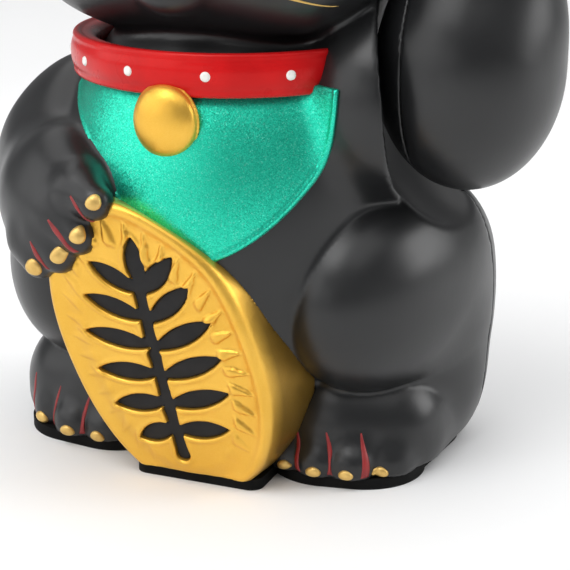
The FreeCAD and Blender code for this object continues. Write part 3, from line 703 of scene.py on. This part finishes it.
def add_trim():
    low, high = (-37, -62, 57), (37, -14, 107)
    piece = sculpt("bib_panel", bib, low, high, 0.55, "housing", teal_glitter())
    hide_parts("bib")
    low, high = (-44, -56, 99), (44, 32, 116)
    red = collar_red()
    piece = sculpt("collar_front_half", front_collar, low, high, 0.6, "housing", red)
    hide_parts("collar_front")
    piece = sculpt("collar_rear_half", rear_collar, low, high, 0.6, "housing", red)
    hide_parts("collar_rear")
    low, high = (-11, -63, 85), (11, -47, 108)
    piece = sculpt("neck_bell", bell, low, high, 0.4, "housing", gold_paint())
    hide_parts("bell")
    dots = []
    for n in range(COLLAR_DOTS):
        angle = COLLAR_DOT_STEP * (n - 0.5)
        a = math.radians(angle)
        side = np.array([math.cos(a), math.sin(a), 0])
        place = collar_point(angle)
        if body(place[None])[0] > 1.5 and pocket(place[None])[0] > 2:
            dots.append(oval(place, (0, 0, COLLAR_DOT_R), side * COLLAR_DOT_R, 0.45, count=9))
    applied("collar_dots", collar_ring, dots, "housing", white_enamel())


# ------------------------------------------------------------ claws and painted lines

def pads(points, facing, half_width, half_height, height):
    """Claw pads, each with its long side level."""
    found = []
    for point, out in zip(points, facing):
        out = np.array(out, float) / np.linalg.norm(out)
        level = np.cross((0, 0, 1), out)
        level /= np.linalg.norm(level)
        up = np.cross(out, level)
        found.append(oval(point, up * half_height, level * half_width, height, 0.25))
    return found


def add_foot_paint(side, name, claw_places, line_places):
    claws, lines = [], []
    for n, (x, y) in enumerate(claw_places):
        out = (side * 0.35 * (n - 1), -1, 0.1)
        claws += pads([(side * x, y, 4.7)], [out], 2.15, 1.45, 0.9)
    for n, (x, y) in enumerate(line_places):
        path = [(side * (x - 1.5), y + 3, 14.5), (side * x, y + 1, 9), (side * (x + 0.5), y, 3.9)]
        lines.append(stroke(path, [0.2, 0.85, 1.1], (side * 0.3 * n, -1, 0.2), 0.3))
    applied(name + "_claws", body, claws, "housing", claw_gold())
    applied(name + "_toe_lines", body, lines, "housing", line_red())


def add_paws_paint():
    add_foot_paint(1, "left_foot", [(24.1, -38), (32.6, -39), (41, -38.3), (48.6, -32.5)],
                   [(27.8, -37), (36.2, -37), (44.4, -35)])
    add_foot_paint(-1, "right_foot", [(30, -38.5), (39.3, -38), (50.3, -31.5)],
                   [(34.8, -37), (44.8, -34), (53, -27)])
    places = [(-12.9, -67, 78.4), (-18.6, -65, 69), (-24.9, -64, 62.6), (-33.5, -62, 58.0)]
    claws = [oval(c, (1.8, 0.2, -1.7), (1.55, 1.2, 1.8), 0.9, 0.25) for c in places]
    ends = [
        [(-20.5, -66, 79.2), (-17.3, -66, 75), (-15.3, -63, 71.8)],
        [(-27.5, -65, 72.2), (-24, -65, 68.2), (-20, -63.5, 64.5)],
        [(-34.2, -64, 65.3), (-31.9, -63.5, 61.9), (-28.6, -62, 58.8)],
    ]
    lines = [stroke(path, [0.35, 1.05, 1.1, 1.0], (0.36, -0.88, 0.3), 0.3) for path in ends]
    applied("coin_paw_claws", body, claws, "housing", claw_gold())
    applied("coin_paw_lines", body, lines, "housing", line_red())
    claws, lines = [], []
    for x, rise in RAISED_TOES:
        claws.append(oval((x, -38, 170 + rise), (0, -0.4, 1.5), (1.7, 0, 0), 0.9, 0.25))
    for x in (63.6, 69.9, 76.2):
        path = [(x, -30, 184), (x, -35, 180), (x, -38, 173)]
        lines.append(stroke(path, [0.15, 0.8, 1.0], (0, -1, 0.6), 0.35))
    applied("raised_paw_claws", raised_arm, claws, "waving_arm", claw_gold())
    applied("raised_paw_lines", raised_arm, lines, "waving_arm", line_red())


# ------------------------------------------------------------ face

def add_face():
    front = (0, -1, 0)
    whites, irises, pupils, glints, rims, brows = [], [], [], [], [], []
    for side in (-1, 1):
        centre = np.array([side * 19.5, -53, 150.5])
        tilt = math.radians(8 * side)
        along = np.array([math.cos(tilt), 0, math.sin(tilt)])
        upward = np.array([-math.sin(tilt), 0, math.cos(tilt)])
        rims.append(oval(centre, along * 9.6, upward * 7.9, 0.45))
        whites.append(oval(centre, along * 8.6, upward * 6.9, 0.85))
        gaze = centre + (-side * 0.8, 0, 0)
        irises.append(oval(gaze, along * 5.2, upward * 5.6, 1.15))
        pupils.append(oval(gaze, along * 2.5, upward * 4.4, 1.45))
        glints.append(oval(gaze + (-1.7, 0, 2.4), along * 1.1, upward * 1.1, 1.65, count=7))
        brows.append(stroke(
            [(side * 9.5, -50, 161.5), (side * 19, -48, 165), (side * 28, -44, 163.5)],
            [0.2, 0.9, 0.2], front, 0.4))
    applied("eye_rims", body, rims, "housing", claw_gold())
    applied("eye_whites", body, whites, "housing", white_enamel())
    applied("eye_irises", body, irises, "housing", iris_amber())
    applied("eye_pupils", body, pupils, "housing", ink_black())
    applied("eye_glints", body, glints, "housing", white_enamel())
    applied("brow_lines", body, brows, "housing", claw_gold())
    nose = oval((0, -59, 139.2), (3.9, 0, 0), (0, 0, 2.6), 1.5)
    applied("nose", body, [nose], "housing", collar_red())
    mouth = []
    for side in (-1, 1):
        path = [(0, -58, 136.5), (0, -58, 133.5), (side * 3.5, -57, 130.8), (side * 9, -56, 131.3),
                (side * 12.5, -54, 134.5)]
        mouth.append(stroke(path, [0.5, 0.7, 0.75, 0.7, 0.15], front, 0.35))
    applied("mouth_line", body, mouth, "housing", line_red())
    whiskers = []
    for side in (-1, 1):
        for row in range(3):
            z = 138 - 4.2 * row
            drop = 3.0 - 3.4 * row
            whiskers.append(stroke(
                [(side * 18, -52, z), (side * 28, -47, z + drop * 0.55), (side * 37, -38, z + drop)],
                [0.55, 0.45, 0.1], (side * 0.5, -1, 0), 0.35))
    applied("whiskers", body, whiskers, "housing", claw_gold())
    ears = [stroke([(side * 29.5, -20, 176), (side * 32, -18, 183), (side * 34.4, -14, 190.5)],
                   [5.2, 4.2, 0.8], front, 0.4) for side in (-1, 1)]
    applied("inner_ears", body, ears, "housing", collar_red())


# ------------------------------------------------------------ finishes

FINISHES = {}


class Finish:
    """A material being built: a Principled shader and textures in object coordinates, in metres."""

    def __init__(self, name, colour, roughness, metallic=0.0, **fixed):
        self.material = bpy.data.materials.new(name)
        self.material.use_nodes = True
        self.tree = self.material.node_tree
        self.shader = self.tree.nodes["Principled BSDF"]
        self.set("Base Color", (*colour, 1))
        self.set("Roughness", roughness)
        self.set("Metallic", metallic)
        for socket, value in fixed.items():
            self.set(socket.replace("_", " "), value)
        self.place = self.tree.nodes.new("ShaderNodeTexCoord").outputs["Object"]
        FINISHES[name] = self.material

    def set(self, socket, value):
        self.shader.inputs[socket].default_value = value

    def node(self, kind, **inputs):
        made = self.tree.nodes.new("ShaderNode" + kind)
        for socket, value in inputs.items():
            if isinstance(value, bpy.types.NodeSocket):
                self.tree.links.new(value, made.inputs[socket.replace("_", " ")])
            else:
                made.inputs[socket.replace("_", " ")].default_value = value
        return made

    def noise(self, size, detail=2.0):
        """Soft noise whose lumps are about size metres across."""
        return self.node("TexNoise", Vector=self.place, Scale=1 / size, Detail=detail).outputs["Fac"]

    def flakes(self, size):
        """Small cells, each with a random colour."""
        cells = self.node("TexVoronoi", Vector=self.place, Scale=1 / size)
        return cells.outputs["Color"]

    def range(self, value, low, high, to_low, to_high):
        made = self.node("MapRange", Value=value)
        for socket, number in zip(("From Min", "From Max", "To Min", "To Max"), (low, high, to_low, to_high)):
            made.inputs[socket].default_value = number
        return made.outputs["Result"]

    def mix(self, share, first, second):
        made = self.tree.nodes.new("ShaderNodeMix")
        made.data_type = "RGBA"
        self.tree.links.new(share, made.inputs["Factor"])
        for socket, value in ((made.inputs[6], first), (made.inputs[7], second)):
            if isinstance(value, bpy.types.NodeSocket):
                self.tree.links.new(value, socket)
            else:
                socket.default_value = (*value, 1)
        return made.outputs[2]

    def link(self, socket, output):
        self.tree.links.new(output, self.shader.inputs[socket])

    def bump(self, height, strength, distance):
        made = self.node("Bump", Height=height, Strength=strength, Distance=distance)
        self.link("Normal", made.outputs["Normal"])

    def scatter_normals(self, cells, amount):
        """Tips the surface normal a little, a different way in each cell."""
        centred = self.tree.nodes.new("ShaderNodeVectorMath")
        centred.operation = "SUBTRACT"
        self.tree.links.new(cells, centred.inputs[0])
        centred.inputs[1].default_value = (0.5, 0.5, 0.5)
        scaled = self.tree.nodes.new("ShaderNodeVectorMath")
        scaled.operation = "SCALE"
        self.tree.links.new(centred.outputs[0], scaled.inputs[0])
        scaled.inputs["Scale"].default_value = amount
        normal = self.tree.nodes.new("ShaderNodeNewGeometry").outputs["Normal"]
        total = self.tree.nodes.new("ShaderNodeVectorMath")
        self.tree.links.new(normal, total.inputs[0])
        self.tree.links.new(scaled.outputs[0], total.inputs[1])
        unit = self.tree.nodes.new("ShaderNodeVectorMath")
        unit.operation = "NORMALIZE"
        self.tree.links.new(total.outputs[0], unit.inputs[0])
        self.link("Normal", unit.outputs[0])


def kept(make):
    """Makes each finish once."""
    def again():
        if make.__name__ not in FINISHES:
            make()
        return FINISHES[make.__name__]
    return again


def mottled(name, colour, other, roughness, spread, size, grain, metallic=0.0, **fixed):
    """Two close colours in soft patches, uneven gloss and a fine surface grain."""
    f = Finish(name, colour, roughness, metallic, **fixed)
    patches = f.noise(size, 3.0)
    f.link("Base Color", f.mix(f.range(patches, 0.35, 0.65, 0.0, 1.0), colour, other))
    f.link("Roughness", f.range(f.noise(size * 0.6), 0.3, 0.7, roughness - spread, roughness + spread))
    f.bump(f.noise(grain), 0.25, grain * 0.06)
    return f


@kept
def satin_black():
    mottled("satin_black", (0.0085, 0.0088, 0.0095), (0.011, 0.0114, 0.012), 0.34, 0.03, 0.018, 0.0007)


@kept
def ink_black():
    mottled("ink_black", (0.010, 0.010, 0.011), (0.015, 0.015, 0.016), 0.6, 0.05, 0.006, 0.0005,
            Specular_IOR_Level=0.25)


# Blacker and duller than the body's black so the plate's thin edge under the feet reads as a dark line:
# partly the plate's own black, partly painted shade.
@kept
def base_black():
    mottled("base_black", (0.003, 0.003, 0.003), (0.005, 0.005, 0.005), 0.75, 0.06, 0.01, 0.0004,
            Specular_IOR_Level=0.15)


def gilded(name):
    """A gold paint with fine flakes. Gives the finish and its colour."""
    f = Finish(name, (0.82, 0.47, 0.075), 0.36, 0.8)
    flakes = f.flakes(0.00018)
    cells = f.node("SeparateColor", Color=flakes).outputs["Red"]
    warm = f.mix(f.range(f.noise(0.015), 0.35, 0.65, 0, 1), (0.84, 0.48, 0.066), (0.78, 0.43, 0.05))
    colour = f.mix(f.range(cells, 0, 1, 0, 0.15), warm, (0.95, 0.68, 0.2))
    f.link("Base Color", colour)
    f.link("Roughness", f.range(f.noise(0.004), 0.3, 0.7, 0.33, 0.42))
    f.scatter_normals(flakes, 0.10)
    return f, colour


@kept
def gold_paint():
    gilded("gold_paint")


@kept
def coin_gold():
    """Gold with painted shade that darkens it to olive down the coin's flaring side."""
    f, colour = gilded("coin_gold")
    facing = COIN_TURN[:, 1]
    depth = f.tree.nodes.new("ShaderNodeVectorMath")
    depth.operation = "DOT_PRODUCT"
    f.tree.links.new(f.place, depth.inputs[0])
    depth.inputs[1].default_value = facing
    face = float(facing @ np.array(COIN_CENTRE)) * MM
    # Painted shade: deeper down the flaring side, close to the body, the gold is mixed towards dark olive.
    side = f.range(depth.outputs["Value"], face + 0.0008, face + 0.006, 0, 0.72)
    f.link("Base Color", f.mix(side, colour, (0.20, 0.115, 0.022)))


@kept
def claw_gold():
    mottled("claw_gold", (0.78, 0.52, 0.16), (0.66, 0.42, 0.12), 0.40, 0.05, 0.003, 0.0004, 0.6)


@kept
def teal_glitter():
    f = Finish("teal_glitter", (0.02, 0.62, 0.42), 0.36, 0.85)
    flakes = f.flakes(0.00024)
    cells = f.node("SeparateColor", Color=flakes)
    shade = f.mix(cells.outputs["Red"], (0.012, 0.50, 0.33), (0.035, 0.76, 0.52))
    bright = f.range(cells.outputs["Green"], 0.9, 0.97, 0, 0.4)
    f.link("Base Color", f.mix(bright, shade, (0.25, 0.92, 0.72)))
    f.link("Roughness", f.range(cells.outputs["Blue"], 0, 1, 0.30, 0.42))
    f.scatter_normals(flakes, 0.16)


@kept
def collar_red():
    mottled("collar_red", (0.60, 0.008, 0.010), (0.50, 0.006, 0.008), 0.3, 0.04, 0.012, 0.0006,
            Specular_Tint=(1, 0.25, 0.2, 1), Coat_Weight=0.1, Coat_Roughness=0.1)


@kept
def line_red():
    mottled("line_red", (0.30, 0.018, 0.018), (0.22, 0.012, 0.014), 0.42, 0.05, 0.003, 0.0004)


@kept
def white_enamel():
    mottled("white_enamel", (0.86, 0.86, 0.82), (0.80, 0.79, 0.74), 0.25, 0.04, 0.004, 0.0005,
            Coat_Weight=0.3)


@kept
def iris_amber():
    mottled("iris_amber", (0.80, 0.42, 0.04), (0.55, 0.24, 0.02), 0.22, 0.03, 0.0016, 0.0004,
            Coat_Weight=0.6)


@kept
def steel():
    mottled("steel", (0.60, 0.60, 0.62), (0.50, 0.50, 0.53), 0.30, 0.06, 0.004, 0.0003, 1.0)


@kept
def nickel():
    mottled("nickel", (0.72, 0.71, 0.70), (0.66, 0.65, 0.66), 0.16, 0.04, 0.004, 0.0004, 1.0)


@kept
def aluminium():
    mottled("aluminium", (0.72, 0.73, 0.75), (0.64, 0.65, 0.68), 0.34, 0.06, 0.003, 0.0003, 1.0)


@kept
def moulded_white():
    mottled("moulded_white", (0.78, 0.78, 0.74), (0.72, 0.72, 0.67), 0.45, 0.05, 0.008, 0.0005)


@kept
def component_black():
    mottled("component_black", (0.02, 0.02, 0.021), (0.032, 0.032, 0.034), 0.38, 0.05, 0.003, 0.0003)


@kept
def wire_red():
    mottled("wire_red", (0.55, 0.02, 0.02), (0.47, 0.015, 0.015), 0.42, 0.04, 0.004, 0.0003)


@kept
def wire_black():
    mottled("wire_black", (0.02, 0.02, 0.02), (0.03, 0.03, 0.03), 0.42, 0.04, 0.004, 0.0003)


@kept
def enamelled_copper():
    """Turns of fine wire: bands along the coil's height, in Z."""
    f = Finish("enamelled_copper", (0.72, 0.27, 0.10), 0.28, 0.9)
    bands = f.node("TexWave", Vector=f.place, Scale=1 / 0.0022, Distortion=0.4)
    bands.bands_direction = "Z"
    height = bands.outputs["Fac"]
    # Painted shade: the colour darkens with the bands' height, into the grooves between turns.
    f.link("Base Color", f.mix(f.range(height, 0, 1, 0, 1), (0.40, 0.12, 0.04), (0.80, 0.32, 0.12)))
    f.bump(height, 0.6, 0.0001)


@kept
def board_green():
    """Solder mask over tracks: a net of lighter, slightly raised lines."""
    f = Finish("board_green", (0.02, 0.17, 0.06), 0.28, 0.0, Coat_Weight=0.4)
    cells = f.node("TexVoronoi", Vector=f.place, Scale=1 / 0.006)
    cells.feature = "DISTANCE_TO_EDGE"
    tracks = f.range(cells.outputs["Distance"], 0.05, 0.09, 1, 0)
    f.link("Base Color", f.mix(tracks, (0.012, 0.13, 0.045), (0.04, 0.26, 0.09)))
    f.bump(tracks, 0.4, 0.00005)


@kept
def cell_sleeve():
    """A battery's printed sleeve: a dark body and a copper-coloured end."""
    f = Finish("cell_sleeve", (0.03, 0.03, 0.035), 0.26, 0.6, Coat_Weight=0.5)
    along = f.node("SeparateXYZ", Vector=f.place).outputs["X"]
    end = f.range(along, 0.0128, 0.0132, 0, 1)
    f.link("Base Color", f.mix(end, (0.028, 0.028, 0.032), (0.72, 0.36, 0.14)))
    f.link("Roughness", f.range(f.noise(0.003), 0.3, 0.7, 0.2, 0.32))


def floor_white():
    f = mottled("floor_white", (0.92, 0.92, 0.92), (0.90, 0.90, 0.90), 0.6, 0.05, 0.5, 0.002)
    return f.material


CAD_FINISHES = {
    base_black: ["base_plate", "battery_door"],
    steel: ["base_screws", "board_screws", "bracket_screws", "arm_axle", "axle_clip", "contact_positive",
            "contact_negative", "counterweight"],
    nickel: ["drive_magnet"],
    moulded_white: ["pivot_bracket", "pendulum_lever", "coil_bobbin"],
    board_green: ["circuit_board"],
    enamelled_copper: ["drive_coil"],
    component_black: ["transistor"],
    aluminium: ["capacitor"],
    cell_sleeve: ["battery_cell"],
    wire_red: ["battery_wire_red"],
    wire_black: ["battery_wire_black"],
}


def finish_cad_nodes():
    for make, names in CAD_FINISHES.items():
        for name in names:
            node = frame["nodes"][name]
            node.data.materials.clear()
            node.data.materials.append(make())


# ------------------------------------------------------------ studio

CAMERA_TARGET = (9.1, 0, 40.5)
CAMERA_DISTANCE = 460
CAMERA_ANGLES = (22, 18)                  # azimuth and elevation, in degrees
CAMERA_LENS = 105.46
FLOOR_HALF = 6.0                          # metres
WORLD_STRENGTH = 0.255
LIGHTS_AIM_Z = 0.06                       # metres

# Softboxes: azimuth, elevation, distance in metres, size in metres, radiance
LIGHTS = {
    "right_softbox": (109, 20, 1.2, (0.62, 0.6), 4.4),
    "left_softbox": (-52, 22, 1.2, (1.5, 0.8), 1.45),
    "front_softbox": (-16, 56, 1.4, (0.8, 0.7), 3.2),
    "overhead_scrim": (0, 90, 2.5, (5.0, 5.0), 1.15),
    "low_softbox": (-6, 14, 1.3, (0.6, 0.4), 0.9),
}


def outward(azimuth, elevation):
    """The unit vector at these angles; azimuth 0 is in front of the cat, 90 at its left side."""
    a, e = math.radians(azimuth), math.radians(elevation)
    return Vector((math.sin(a) * math.cos(e), -math.cos(a) * math.cos(e), math.sin(e)))


def add_camera():
    back = outward(*CAMERA_ANGLES)
    data = bpy.data.cameras.new("camera")
    data.sensor_width = 36
    data.lens = CAMERA_LENS
    camera = bpy.data.objects.new("camera", data)
    bpy.context.scene.collection.objects.link(camera)
    camera.location = (Vector(CAMERA_TARGET) + back * CAMERA_DISTANCE) * MM
    camera.rotation_euler = (-back).to_track_quat("-Z", "Y").to_euler()
    bpy.context.scene.camera = camera


def add_light(name, azimuth, elevation, distance, size, radiance):
    """A softbox that faces the cat."""
    out = outward(azimuth, elevation)
    data = bpy.data.lights.new(name, "AREA")
    data.shape = "RECTANGLE"
    data.size, data.size_y = size
    data.energy = radiance * math.pi * size[0] * size[1]
    light = bpy.data.objects.new(name, data)
    bpy.context.scene.collection.objects.link(light)
    light.location = out * distance + Vector((0, 0, LIGHTS_AIM_Z))
    light.rotation_euler = (-out).to_track_quat("-Z", "Y").to_euler()


def add_studio():
    half = FLOOR_HALF
    mesh = bpy.data.meshes.new("floor")
    corners = [(-half, -half, 0), (half, -half, 0), (half, half, 0), (-half, half, 0)]
    mesh.from_pydata(corners, [], [(0, 1, 2, 3)])
    mesh.materials.append(floor_white())
    floor = bpy.data.objects.new("floor", mesh)
    bpy.context.scene.collection.objects.link(floor)
    world = bpy.data.worlds.new("studio")
    world.use_nodes = True
    world.node_tree.nodes["Background"].inputs["Color"].default_value = (0.97, 0.98, 1.0, 1)
    world.node_tree.nodes["Background"].inputs["Strength"].default_value = WORLD_STRENGTH
    bpy.context.scene.world = world
    bpy.context.scene.view_settings.view_transform = "Standard"
    for name, settings in LIGHTS.items():
        add_light(name, *settings)


# ------------------------------------------------------------ the whole cat

add_camera()
add_studio()
finish_cad_nodes()
add_shells()
add_coin()
add_trim()
add_paws_paint()
add_face()
